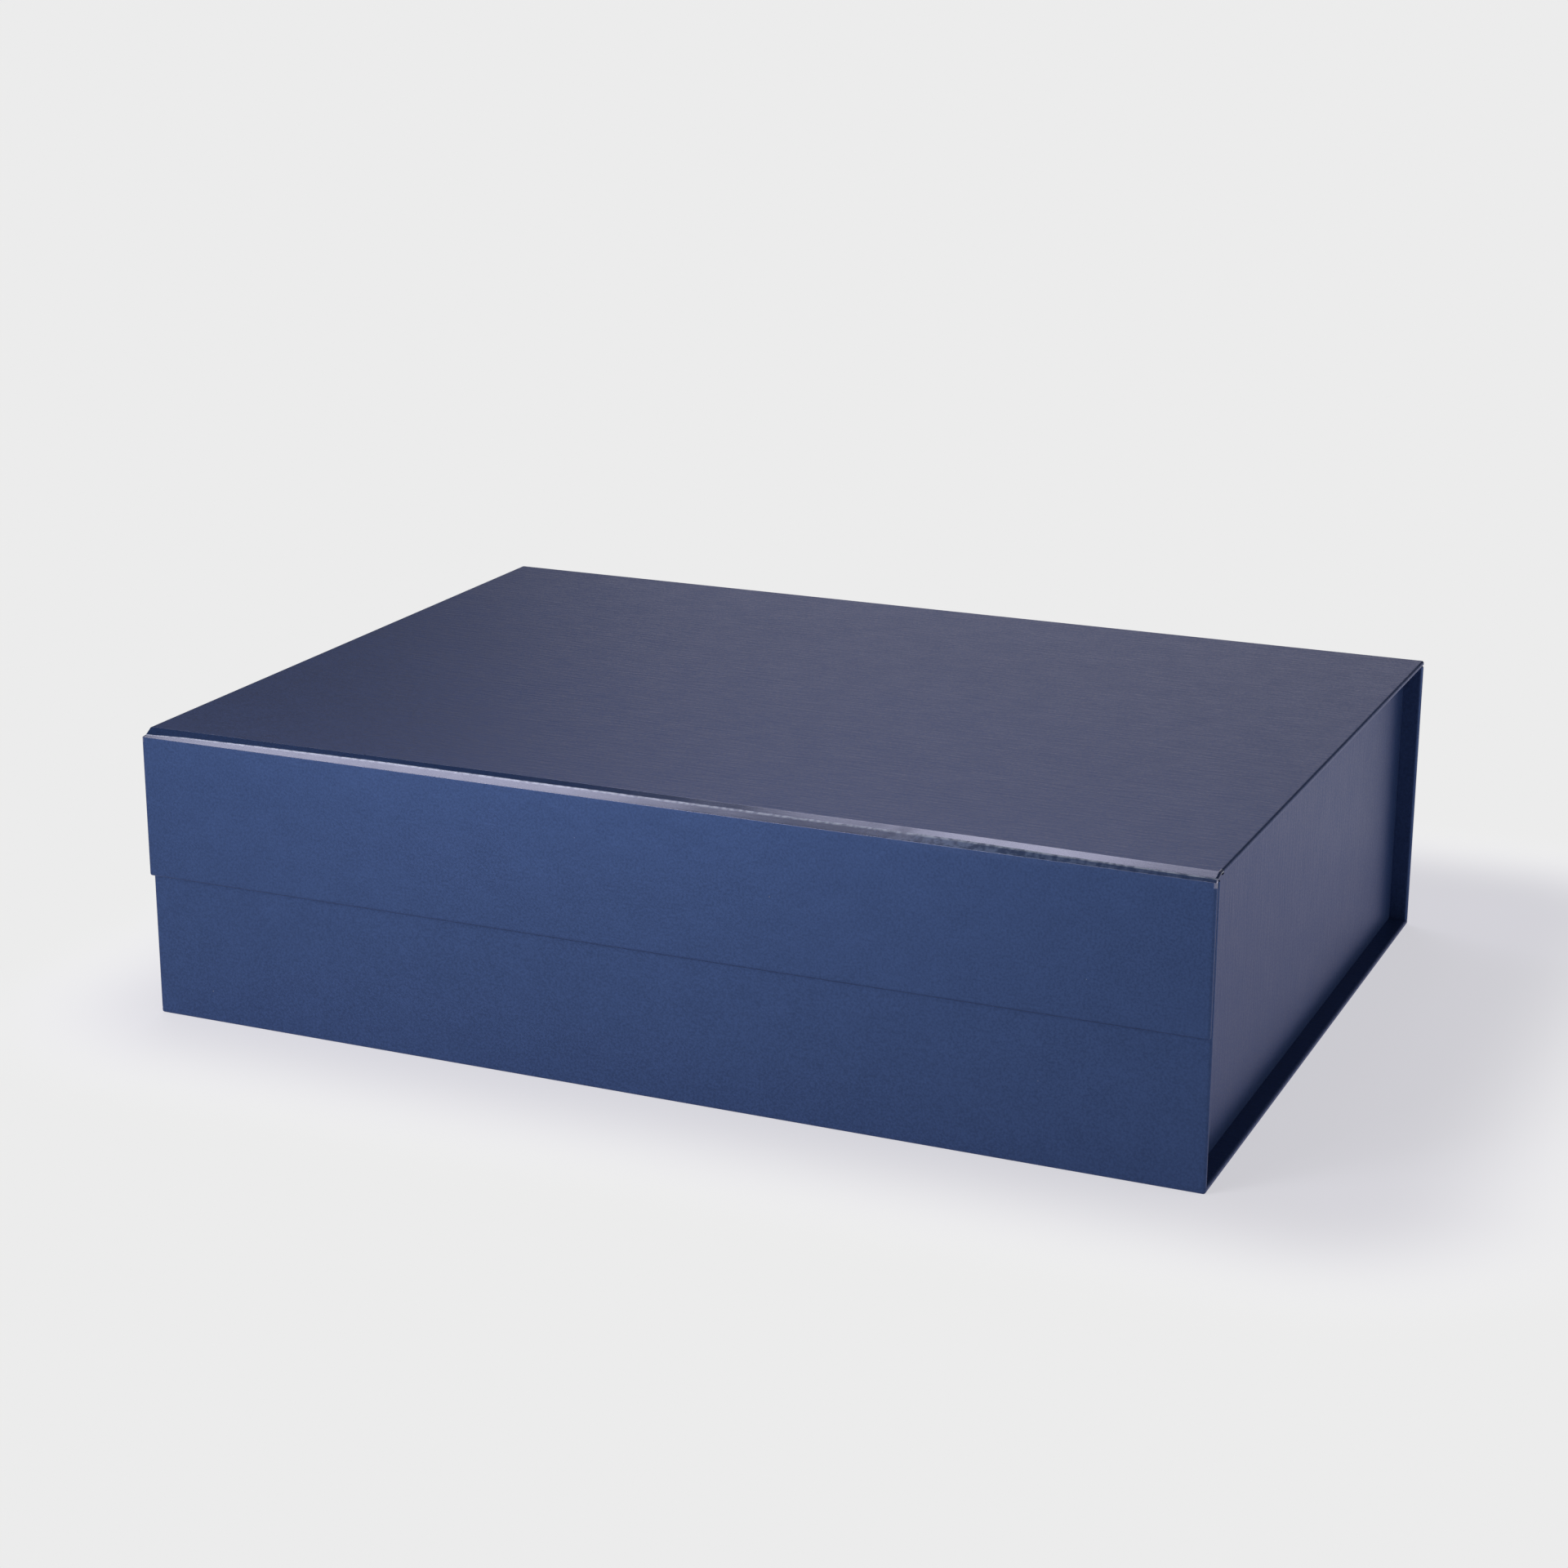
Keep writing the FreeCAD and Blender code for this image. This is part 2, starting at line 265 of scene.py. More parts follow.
def paper(name, colour, roughness, specular, pearl=0.0, wear_and_painted_light=0.03, crease=0.0, relief=1.0, ior=1.5):
    """Coloured book-covering paper: fine grain, faint mottling, dust, and paler worn edges.

    pearl is the share of metallic pigment in its colour, and relief the height of its surface
    beside fresh paper's. Two more shares say how pale its edges and its creases get: from wear on
    edges and as painted light on the fold's lower facet, and on creases partly from cracking and
    partly as a painted highlight.
    """
    material = new_material(name)
    tree = material.node_tree
    place = object_place(tree)
    grain = noise_node(tree, place, GRAIN, detail=3.0, roughness=0.6)
    fibre = noise_node(tree, place, FIBRE)
    mottle = noise_node(tree, place, MOTTLE, detail=3.0, roughness=0.55)
    cloud = noise_node(tree, place, CLOUD, detail=1.0)
    streak = noise_node(tree, stretched(tree, place, STREAK_SCALE), STREAK, roughness=0.55)
    wave = noise_node(tree, place, WAVE, detail=1.0)

    dark, light, pale = (scaled(colour, factor) for factor in (0.86, 1.14, 1.35))
    tone = blend_colour(tree, ranged(tree, grain, 0.3, 0.7), dark, light)
    tone = blend_colour(tree, ranged(tree, mottle, 0.4, 0.75, to_high=0.1), tone, pale)
    tone = blend_colour(tree, ranged(tree, cloud, 0.35, 0.7, to_high=0.06), tone, pale)
    tone = blend_colour(tree, ranged(tree, streak, 0.3, 0.7, to_high=0.1), tone, scaled(colour, 0.7))
    tone = blend_colour(tree, dust(tree, place), tone, DUST)

    # Wear and painted light: the paper's dye is rubbed off along its edges, and the fold's lower
    # facet is paled the same way as painted light. Its creases are paled partly as cracked paper and
    # partly as a painted highlight.
    patchy = ranged(tree, fibre, 0.35, 0.65, 0.25, 1.0)
    rubbed_and_painted_light = math_node(tree, "MULTIPLY", vertex_value(tree, "edge_wear_and_painted_light"), patchy)
    tone = blend_colour(tree, math_node(tree, "MULTIPLY", rubbed_and_painted_light, wear_and_painted_light), tone, WORN_AND_PAINTED_LIGHT)
    if crease:
        crease_patches = ranged(tree, fibre, 0.38, 0.6, 0.35, 1.0)
        cracked_and_painted_highlight = math_node(tree, "MULTIPLY", vertex_value(tree, "crease"), crease_patches)
        tone = blend_colour(tree, math_node(tree, "MULTIPLY", cracked_and_painted_highlight, crease), tone, CRACKED_AND_PAINTED_HIGHLIGHT)

    gloss = ranged(tree, grain, 0.25, 0.75, roughness - 0.06 * relief, roughness + 0.08 * relief)
    gloss = math_node(tree, "ADD", gloss, ranged(tree, mottle, 0.3, 0.7, -0.01, 0.015))

    height = math_node(tree, "ADD", grain, math_node(tree, "MULTIPLY", fibre, FIBRE_SHARE))
    height = math_node(tree, "ADD", height, math_node(tree, "MULTIPLY", streak, STREAK_SHARE))
    waved = bumped(tree, wave, WAVE_DEPTH * relief)
    inputs = {
        "Base Color": tone,
        "Roughness": gloss,
        "Specular IOR Level": specular,
        "IOR": ior,
        "Metallic": pearl,
        "Specular Tint": (*PEARL_EDGE, 1.0),
        "Normal": bumped(tree, height, GRAIN_DEPTH * relief, over=waved),
    }
    add_surface(tree, inputs)
    return material


def greyboard(name):
    """Grey recycled board: mottled pulp with dark and pale fibres."""
    material = new_material(name)
    tree = material.node_tree
    place = object_place(tree)
    along = stretched(tree, place, (0.25, 1.0, 1.0))
    fibre = noise_node(tree, along, size=0.7 * MM, detail=3.0, roughness=0.65)
    mottle = noise_node(tree, place, size=5 * MM, detail=3.0)
    dark, pale, pulp = (0.26, 0.24, 0.21), (0.44, 0.42, 0.38), (0.33, 0.31, 0.28)
    tone = blend_colour(tree, ranged(tree, fibre, 0.3, 0.7), dark, pale)
    tone = blend_colour(tree, ranged(tree, mottle, 0.35, 0.7, to_high=0.4), tone, pulp)
    rough = ranged(tree, mottle, 0.3, 0.7, 0.82, 0.95)
    normal = bumped(tree, fibre, distance=0.05 * MM)
    inputs = {"Base Color": tone, "Roughness": rough, "Specular IOR Level": 0.3, "Normal": normal}
    add_surface(tree, inputs)
    return material


def plated_metal(name, colour, roughness, streak):
    """Thin plated or rolled metal; streak is how much longer its fine scratches are along X."""
    material = new_material(name)
    tree = material.node_tree
    place = object_place(tree)
    along = stretched(tree, place, (1.0 / streak, 1.0, 1.0))
    scratch = noise_node(tree, along, size=0.25 * MM, detail=3.0, roughness=0.6)
    cloud = noise_node(tree, place, size=6 * MM)
    tone = blend_colour(tree, ranged(tree, cloud, 0.35, 0.7, to_high=0.5), colour, scaled(colour, 0.8))
    rough = ranged(tree, scratch, 0.3, 0.7, roughness - 0.06, roughness + 0.1)
    normal = bumped(tree, scratch, distance=0.004 * MM, strength=0.6)
    add_surface(tree, {"Base Color": tone, "Metallic": 1.0, "Roughness": rough, "Normal": normal})
    return material


def film_tape(name):
    """Double-sided tape: off-white, with faint waves in its film."""
    material = new_material(name)
    tree = material.node_tree
    wave = noise_node(tree, object_place(tree), size=4 * MM)
    yellowish, white = (0.74, 0.72, 0.66), (0.82, 0.81, 0.77)
    tone = blend_colour(tree, ranged(tree, wave, 0.3, 0.7), yellowish, white)
    rough = ranged(tree, wave, 0.3, 0.7, 0.36, 0.5)
    normal = bumped(tree, wave, distance=0.03 * MM)
    add_surface(tree, {"Base Color": tone, "Roughness": rough, "Normal": normal})
    return material


COVERING = paper("covering_paper", NAVY, roughness=0.38, specular=0.12, pearl=0.5)
CREASED = paper("creased_paper", NAVY, roughness=0.38, specular=0.12, pearl=0.5, crease=0.12)
# The fold: its darker navy is painted shade, its paled lower facet painted light, and its paled crease
# partly cracked paper, partly a painted highlight
FOLDED = paper(
    "fold_paper",
    NAVY_SHADED_FOLD,
    roughness=0.24,
    specular=1.0,
    wear_and_painted_light=0.8,
    crease=0.6,
    relief=0.06,
    ior=1.8,
)
LINING = paper("lining_paper", NAVY_LINING, roughness=0.6, specular=0.35, wear_and_painted_light=0.1)
EAR_PAPER = paper("ear_paper", NAVY_LINING, roughness=0.55, specular=0.4, wear_and_painted_light=0.15)
BOARD = greyboard("greyboard")
TAPE = film_tape("tape")
MAGNET = plated_metal("magnet_plating", (0.62, 0.62, 0.63), roughness=0.24, streak=1.0)
STEEL = plated_metal("plate_steel", (0.56, 0.56, 0.57), roughness=0.35, streak=8.0)


# ---------------------------------------------------------------- mesh helpers


def make_piece(name, mesh, materials, facing=None):
    """Object from a bmesh, which is used up; facing is where the face of an open sheet looks."""
    data = bpy.data.meshes.new(name)
    if facing is None:
        bmesh.ops.recalc_face_normals(mesh, faces=mesh.faces)
    else:
        mesh.normal_update()
        if sum(face.normal.dot(facing) for face in mesh.faces) < 0:
            bmesh.ops.reverse_faces(mesh, faces=mesh.faces)
    mesh.to_mesh(data)
    mesh.free()
    piece = bpy.data.objects.new(name, data)
    bpy.context.scene.collection.objects.link(piece)
    for material in materials:
        data.materials.append(material)
    return piece


def apply_modifiers(piece):
    graph = bpy.context.evaluated_depsgraph_get()
    final = bpy.data.meshes.new_from_object(piece.evaluated_get(graph), depsgraph=graph)
    piece.modifiers.clear()
    piece.data = final
    final.name = piece.name


def thicken(piece, thickness, inner_material=0, even=True):
    """Gives a sheet its thickness behind its face; the back may have another of its materials."""
    solid = piece.modifiers.new("thickness", "SOLIDIFY")
    solid.thickness = thickness
    solid.offset = -1.0
    solid.use_even_offset = even
    solid.material_offset = inner_material
    solid.material_offset_rim = 0
    apply_modifiers(piece)


def shade(piece):
    """Smooth shading that keeps cut edges sharp and large faces flat up to their rounded edges."""
    piece.data.shade_smooth()
    piece.data.set_sharp_from_angle(angle=math.radians(SMOOTH_ANGLE))
    normals = piece.modifiers.new("normals", "WEIGHTED_NORMAL")
    normals.keep_sharp = True
    apply_modifiers(piece)


def stand_for(piece, node, body=None):
    """The piece takes the place of a CAD node, which it hides, and rides that body if one is given."""
    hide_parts(node)
    if body:
        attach(piece, body)


def box_mesh(low, high):
    mesh = bmesh.new()
    bmesh.ops.create_cube(mesh, size=1.0)
    for vert in mesh.verts:
        vert.co = [high[i] if vert.co[i] > 0 else low[i] for i in range(3)]
    return mesh


def cad_mesh(node):
    """A CAD node's mesh with its triangles joined into whole faces."""
    mesh = bmesh.new()
    mesh.from_mesh(frame["nodes"][node].data)
    bmesh.ops.remove_doubles(mesh, verts=mesh.verts, dist=NEAR)
    bmesh.ops.dissolve_limit(mesh, angle_limit=SAME_PLANE, verts=mesh.verts, edges=mesh.edges)
    return mesh


def round_off(mesh, edges, reach, steps):
    """Rounds edges, so that the round begins at reach from where each was."""
    bmesh.ops.bevel(mesh, geom=edges, offset=reach, segments=steps, profile=0.5, affect="EDGES")


def cut(mesh, axis, place, clear_inner=False):
    """Adds a loop of edges where the plane at place crosses the mesh; may clear what is below."""
    point, normal = Vector((0, 0, 0)), Vector((0, 0, 0))
    point[axis], normal[axis] = place, 1.0
    geometry = mesh.verts[:] + mesh.edges[:] + mesh.faces[:]
    bmesh.ops.bisect_plane(
        mesh, geom=geometry, dist=CUT_NEAR, plane_co=point, plane_no=normal, clear_inner=clear_inner
    )


def cut_off(mesh, place):
    """Takes off what is in front of place, and closes the cut."""
    cut(mesh, FRONT[0], place, clear_inner=True)
    bmesh.ops.holes_fill(mesh, edges=mesh.edges)


def lies_on(verts, low, high, side):
    axis, end = side
    place = (low, high)[end][axis]
    return all(abs(vert.co[axis] - place) < NEAR for vert in verts)


def within(point, box):
    low, high = box
    return all(low[i] - NEAR < point[i] < high[i] + NEAR for i in range(3))


def mark_edges(mesh):
    """Writes 1 where a vertex is on a rounded edge and 0 elsewhere, for the wear of the paper."""
    layer = mesh.verts.layers.float.new("edge_wear_and_painted_light")
    mesh.normal_update()
    for vert in mesh.verts:
        normals = [face.normal for face in vert.link_faces]
        spread = max(a.angle(b) for a in normals for b in normals)
        vert[layer] = 1.0 if spread > math.radians(EDGE_ANGLE) else 0.0


# ---------------------------------------------------------------- covering paper on the boards


def cover(name, node, body, bare, windows, running=(), span=None):
    """Covering paper of one panel, rounded over the board's edges.

    bare are the sides where the sheet runs on into the next piece, and running are the edges,
    each as its two sides, past which it runs straight on. windows are boxes in which the board
    isn't covered, such as where the lining goes. span is the panel's box if it isn't the node's.
    """
    low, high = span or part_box(node)
    mesh = box_mesh(low, high)
    rounded = [
        edge
        for edge in mesh.edges
        if not any(lies_on(edge.verts, low, high, side) for side in bare)
        and not any(all(lies_on(edge.verts, low, high, side) for side in pair) for pair in running)
    ]
    round_off(mesh, rounded, EDGE_ROUND, ROUND_STEPS)
    for axis in range(3):
        places = {low[axis] + WEAR_REACH, high[axis] - WEAR_REACH}
        places |= {corner[axis] for window in windows for corner in window}
        for place in sorted(places):
            if low[axis] + EDGE_ROUND < place < high[axis] - EDGE_ROUND:
                cut(mesh, axis, place)
    gone = [
        face
        for face in mesh.faces
        if any(lies_on(face.verts, low, high, side) for side in bare)
        or any(within(face.calc_center_median(), window) for window in windows)
    ]
    bmesh.ops.delete(mesh, geom=gone, context="FACES")
    mark_edges(mesh)
    piece = make_piece(name, mesh, [COVERING])
    thicken(piece, PAPER)
    shade(piece)
    stand_for(piece, node, body)


def build_boards():
    """Boards with the CAD's own pockets, their outer edges rounded to lie inside the covering."""
    for part in frame["record"]["subparts"]:
        if part["material_slot"] != "greyboard":
            continue
        node = part["node"]
        low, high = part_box(node)
        mesh = cad_mesh(node)
        if node == "lid_board":
            low, high = resized(low, high, y_low=lid_front())
            cut_off(mesh, low.y)
        outer = {f for f in mesh.faces if any(lies_on(f.verts, low, high, side) for side in SIDES)}
        edges = [e for e in mesh.edges if len(e.link_faces) == 2 and outer.issuperset(e.link_faces)]
        round_off(mesh, edges, EDGE_ROUND - PAPER + BOARD_CLEAR, BOARD_STEPS)
        thin = min(range(3), key=lambda axis: high[axis] - low[axis])
        mesh.normal_update()
        for face in mesh.faces:
            if abs(face.normal[thin]) < BOARD_FLAT:
                face.material_index = 1
        piece = make_piece(node.replace("_board", "_core"), mesh, [BOARD, COVERING])
        shade(piece)
        panel = node.split("_")[0]
        stand_for(piece, node, panel if panel in ("flap", "lid") else "tray")


def resized(low, high, **limits):
    """A box from low to high with some of its limits replaced, such as z_low or y_high."""
    low, high = Vector(low), Vector(high)
    for key, value in limits.items():
        axis, end = key.split("_")
        (low if end == "low" else high)["xyz".index(axis)] = value
    return low, high


def lid_front():
    """Where the lid's covering passes into the paper of the fold."""
    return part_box("flap_fold")[0].y + LID_BOARD_END


def build_covers():
    cover("flap_cover", "flap_wrap", "flap", [TOP], [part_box("flap_lining")])
    lid = resized(*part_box("lid_wrap"), y_low=lid_front())
    cover("lid_cover", "lid_wrap", "lid", [FRONT], [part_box("lid_lining")], [(REAR, BOTTOM)], lid)

    cover("front_cover", "front_wrap", "tray", [BOTTOM], [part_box("front_lining")])
    rear_low, rear_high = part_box("rear_wrap")
    behind = resized(rear_low, rear_high, y_low=rear_high.y, z_low=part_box("lid_fold")[0].z)
    cover("rear_cover", "rear_wrap", "tray", [BOTTOM, TOP], [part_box("rear_lining"), behind])

    base_low, base_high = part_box("base_wrap")
    front_inside, rear_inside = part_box("front_wrap")[1].y, rear_low.y
    under_front = resized(base_low, base_high, z_low=base_high.z, y_high=front_inside)
    under_rear = resized(base_low, base_high, z_low=base_high.z, y_low=rear_inside)
    windows = [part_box("base_lining"), under_front, under_rear]
    cover("base_cover", "base_wrap", "tray", [], windows, [(FRONT, TOP), (REAR, TOP)])
    for side in ("left", "right"):
        node = side + "_side_wrap"
        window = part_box(side + "_side_lining")
        cover(side + "_side_cover", node, "tray", [BOTTOM, FRONT, REAR], [window])


# ---------------------------------------------------------------- folds


def sheet_mesh(sections, creases=(), rubbed_and_painted_light=None):
    """Grid through a row of sections; each is a list of points, as many in each section.

    creases gives the points of a section that lie on a crease, which the material pales partly as
    cracked paper and partly as a painted highlight. The last argument gives how pale the paper is
    at a place and point, from 0 to 1: from wear, or as painted light.
    """
    mesh = bmesh.new()
    wear_and_painted_light = mesh.verts.layers.float.new("edge_wear_and_painted_light")
    crease = mesh.verts.layers.float.new("crease")
    rows = [[mesh.verts.new(point) for point in section] for section in sections]
    for row in rows:
        for i, vert in enumerate(row):
            vert[wear_and_painted_light] = rubbed_and_painted_light(vert.co.x, i) if rubbed_and_painted_light else 0.0
            vert[crease] = 1.0 if i in creases else 0.0
    for this, after in zip(rows, rows[1:]):
        for i in range(len(this) - 1):
            mesh.faces.new((this[i], this[i + 1], after[i + 1], after[i]))
    return mesh


def bend(before, corner, after, radius, steps):
    """Points of a round corner between two straight runs."""
    start = corner + (before - corner).normalized() * radius
    end = corner + (after - corner).normalized() * radius
    points = []
    for i in range(steps + 1):
        t = i / steps
        points.append(start * (1 - t) ** 2 + corner * 2 * t * (1 - t) + end * t**2)
    return points


def smooth_step(value, low, high):
    t = min(max((value - low) / (high - low), 0.0), 1.0)
    return t * t * (3 - 2 * t)


def spaced(low, high, count):
    """Places from low to high, in that many equal steps."""
    return [low + (high - low) * i / count for i in range(count + 1)]


def stations(low, high, step):
    """Places from low to high, about a step apart."""
    return spaced(low, high, round((high - low) / step))


def crease_at(share):
    """The three sizes of CREASE at a share of the half width, in metres, with its turns eased."""
    sizes = Vector((0, 0, 0))
    nearby = spaced(share - CREASE_EASE, share + CREASE_EASE, EASE_STEPS)
    for place in nearby:
        place = min(max(place, CREASE[0][0]), CREASE[-1][0])
        before, after = next(pair for pair in zip(CREASE, CREASE[1:]) if place <= pair[1][0])
        t = (place - before[0]) / (after[0] - before[0])
        sizes += Vector(before[1:]).lerp(Vector(after[1:]), t) / len(nearby)
    return sizes * MM


def rounded_ends(half):
    """Pairs of a place along the fold and how far its paper is drawn in there."""
    ends = []
    for i in range(ROUND_STEPS):
        turn = math.pi / 2 * (1 - i / ROUND_STEPS)
        ends.append((half - EDGE_ROUND * (1 - math.sin(turn)), EDGE_ROUND * (1 - math.cos(turn))))
    middle = [(x, 0.0) for x in stations(EDGE_ROUND - half, half - EDGE_ROUND, FOLD_STEP)]
    return [(-x, inset) for x, inset in ends] + middle + ends[::-1]


def draw_in(section, middle, distance):
    """Moves a section's points towards its middle, where the fold's end is rounded over."""
    return [point + (middle - point).normalized() * distance for point in section]


def build_flap_fold():
    """Paper over the gap between lid and flap, creased into two facets by use."""
    low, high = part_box("flap_fold")
    half = high.x
    kinks = random.Random(KINK_SEED)
    offsets = [kinks.uniform(-1, 1) for _ in range(KINK_COUNT)]

    def kink(x):
        """Irregular small shifts of the crease, straight between one kink and the next."""
        t = (x + half) / (2 * half) * (len(offsets) - 2)
        i = int(t)
        return offsets[i] * (1 - t + i) + offsets[i + 1] * (t - i)

    sections = []
    for x, inset in rounded_ends(half):
        lid_back, crease_back, crease_down = crease_at(x / half)
        strayed = noise.noise(Vector((x / WANDER_LENGTH, WANDER_ROW, 0)))
        wander = strayed * CREASE_WANDER + kink(x) * CREASE_KINK
        wrinkle = WRINKLE_DEPTH * smooth_step(-abs(x - WRINKLE_AT), -WRINKLE_WIDTH, 0)
        crease = Vector((x, low.y + crease_back + wander, high.z - crease_down - wrinkle))
        lid_start = Vector((x, lid_front(), high.z))
        lid_bend = Vector((x, low.y + lid_back, high.z))
        flap_bend = Vector((x, low.y, high.z - FLAP_BEND))
        flap_end = Vector((x, low.y, low.z))
        upper = [lid_start, *bend(lid_start, lid_bend, crease, BOARD_BEND, BOARD_BEND_STEPS)]
        upper += [lid_bend.lerp(crease, t) for t in UPPER_ROWS]
        turned = bend(lid_bend, crease, flap_bend, CREASE_ROUND, CREASE_STEPS)
        lower = [crease.lerp(flap_bend, t) for t in LOWER_ROWS]
        lower += bend(crease, flap_bend, flap_end, BOARD_BEND, BOARD_BEND_STEPS)
        lower += [flap_bend.lerp(flap_end, 0.5), flap_end]
        middle = Vector((x, lid_start.y, flap_end.z))
        sections.append(draw_in(upper + turned + lower, middle, inset))
    # Points on the crease, which the material pales partly as cracked paper, partly as a painted
    # highlight
    crease_points = range(len(upper) + 1, len(upper) + len(turned) + 1)

    def rubbed_and_painted_light(x, i):
        """Painted light: the lower facet is made paler on the right, most of all where that begins."""
        if i < crease_points[-1]:
            return 0.0
        lost = PAINTED_LIGHT_LOSS * smooth_step(x / half, *PAINTED_LIGHT_FADES)
        return smooth_step(x / half, *PAINTED_LIGHT_FROM) * (1 - lost)

    mesh = sheet_mesh(sections, crease_points, rubbed_and_painted_light)
    for face in mesh.faces:
        if lies_on(face.verts, low, high, FRONT) or lies_on(face.verts, low, high, TOP):
            face.material_index = 1
    piece = make_piece("flap_fold_cover", mesh, [FOLDED, COVERING, LINING], Vector((0, -1, 1)))
    thicken(piece, 2 * PAPER, inner_material=2, even=False)
    # The thickness may have pushed a corner of the rounded ends out past the fold's width
    for vert in piece.data.vertices:
        vert.co.x = min(max(vert.co.x, -half), half)
    shade(piece)
    stand_for(piece, "flap_fold")
    start, end = ((0, low.y + back * MM, high.z - down * MM) for back, down in FOLD_BENDS)
    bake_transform(piece)
    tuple(start)
    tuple(end)


def build_lid_fold():
    """Creased paper between rear wall and lid, built as it lies with the lid closed, though the real
    paper turns over on itself as the lid lies back.
    """
    low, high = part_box("lid_fold")
    crease_low, crease_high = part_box("rear_wrap")[1].z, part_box("lid_wrap")[0].z
    middle = (crease_low + crease_high) / 2
    heights = [low.z, crease_low - WEAR_REACH, *spaced(crease_low, crease_high, LID_CREASE_ROWS)]
    sections = []
    for x in stations(low.x + EDGE_ROUND, high.x - EDGE_ROUND, LID_CREASE_STEP):
        section = []
        for z in heights:
            depth = LID_CREASE_DEPTH * (1 - smooth_step(abs(z - middle), 0, WEAR_REACH))
            section.append(Vector((x, high.y - depth, z)))
        sections.append(section)
    centre = len(heights) - 1 - LID_CREASE_ROWS // 2
    mesh = sheet_mesh(sections, range(centre - 1, centre + 2))
    piece = make_piece("lid_fold_cover", mesh, [CREASED, LINING], Vector((0, 1, 0)))
    thicken(piece, PAPER, inner_material=1)
    shade(piece)
    stand_for(piece, "lid_fold")
    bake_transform(piece)


# ---------------------------------------------------------------- inside


def lining(name, node, body, facing, raised):
    """Lining paper that shows, on the raised sides, the step of the covering paper under it."""
    low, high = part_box(node)
    axis, end = facing
    mesh = box_mesh(low, high)
    for side_axis, side_end in raised:
        inward = 1 if side_end == 0 else -1
        edge = (low, high)[side_end][side_axis]
        cut(mesh, side_axis, edge + inward * TURN_IN)
        cut(mesh, side_axis, edge + inward * (TURN_IN + TURN_IN_STEP))
    face = (low, high)[end][axis]
    for vert in mesh.verts:
        gaps = [abs(vert.co[a] - (low, high)[e][a]) for a, e in raised]
        if abs(vert.co[axis] - face) < NEAR and all(gap > TURN_IN + NEAR for gap in gaps):
            vert.co[axis] += EMBOSS if end == 0 else -EMBOSS
    mesh.verts.layers.float.new("edge_wear_and_painted_light")  # none is worn
    piece = make_piece(name, mesh, [LINING])
    shade(piece)
    stand_for(piece, node, body)


def build_linings():
    lining("flap_inner", "flap_lining", "flap", REAR, [LEFT, RIGHT, BOTTOM])
    lining("lid_inner", "lid_lining", "lid", BOTTOM, [LEFT, RIGHT])
    lining("rear_inner", "rear_lining", "tray", FRONT, [])
    lining("base_inner", "base_lining", "tray", TOP, [])
    lining("front_inner", "front_lining", "tray", REAR, [TOP])
    lining("left_side_inner", "left_side_lining", "tray", RIGHT, [TOP])
    lining("right_side_inner", "right_side_lining", "tray", LEFT, [TOP])


def build_ears():
    """Card ears, with the CAD's own outline and rounded, rubbed edges."""
    for side in ("left", "right"):
        for end in ("front", "rear"):
            node = f"{side}_{end}_ear"
            mesh = cad_mesh(node)
            round_off(mesh, mesh.edges[:], EAR_ROUND, EAR_STEPS)
            flat = [face for face in mesh.faces if face.calc_area() > EAR_FACE]
            bmesh.ops.inset_individual(mesh, faces=flat, thickness=WEAR_REACH)
            mark_edges(mesh)
            piece = make_piece(node + "_card", mesh, [EAR_PAPER])
            shade(piece)
            stand_for(piece, node, "tray")


def build_hinge_strips():
    """Paper angle in the corner of side wall and base."""
    for side, outward in (("left", -1), ("right", 1)):
        node = side + "_hinge_strip"
        low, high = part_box(node)
        wall, free = (high.x, low.x) if outward > 0 else (low.x, high.x)
        foot = Vector((free, 0, low.z + PAPER))
        corner = Vector((wall - outward * PAPER, 0, low.z + PAPER))
        top = Vector((wall - outward * PAPER, 0, high.z))
        profile = [foot, *bend(foot, corner, top, STRIP_BEND, STRIP_STEPS), top]
        if outward < 0:
            profile.reverse()
        sections = [[point + Vector((0, y, 0)) for point in profile] for y in (low.y, high.y)]
        piece = make_piece(node + "_paper", sheet_mesh(sections), [LINING], Vector((outward, 0, 1)))
        thicken(piece, PAPER)
        shade(piece)
        stand_for(piece, node, "tray")


def finish_cad_nodes():
    """Materials of the pieces whose CAD shape is right: tape, magnets and steel discs."""
    finishes = {"tape": TAPE, "magnet": MAGNET, "plate_steel": STEEL}
    for part in frame["record"]["subparts"]:
        finish = finishes.get(part["material_slot"])
        if finish:
            node = frame["nodes"][part["node"]]
            node.data.materials.clear()
            node.data.materials.append(finish)


build_covers()
build_boards()
build_flap_fold()
build_lid_fold()
build_linings()
build_ears()
build_hinge_strips()
finish_cad_nodes()


# ---------------------------------------------------------------- studio

PALE = 0.8388  # the background as a linear value
FLOOR_COLOUR = (0.83, 0.814, 0.889)  # a cool, slightly lilac white
FLOOR_NEAR = (0.97, 0.96, 1.01)  # the same, as bright as the lamps make it beside the box
FLOOR_SIZE = 60.0
FLOOR_BELOW = 0.02 * MM  # so that the box's underside isn't in the floor's own plane
SHADOW_SHARE = 0.43  # how much of the floor's look beside the box is real light and shadow
SHADOW_SHIFT = (0.032, 0.032)  # the shadow falls to the right and rear of the box
SHADOW_REACH = 0.13  # from the shifted outline of the box to where it has faded out

# The backdrop as gloss shows it: bright up to a height, with dark gaps beside it
BACKDROP_TOP = (28.0, 40.0)  # degrees of elevation over which it ends
BACKDROP_GAPS = ((-56.0, 23.0), (26.0, 26.0))  # middle and half width in degrees, 0 at the rear
BACKDROP_SOFT = 9.0
BACKDROP_FRONT = (-0.4, -0.2)  # it ends between these values of Y on the unit sphere
BACKDROP_DARK, BACKDROP_BRIGHT = 0.14, 1.08
ABOVE_BACKDROP = 0.05  # share of its brightness that is left above it

AROUND_STRENGTH = 0.16  # of the even light from all sides

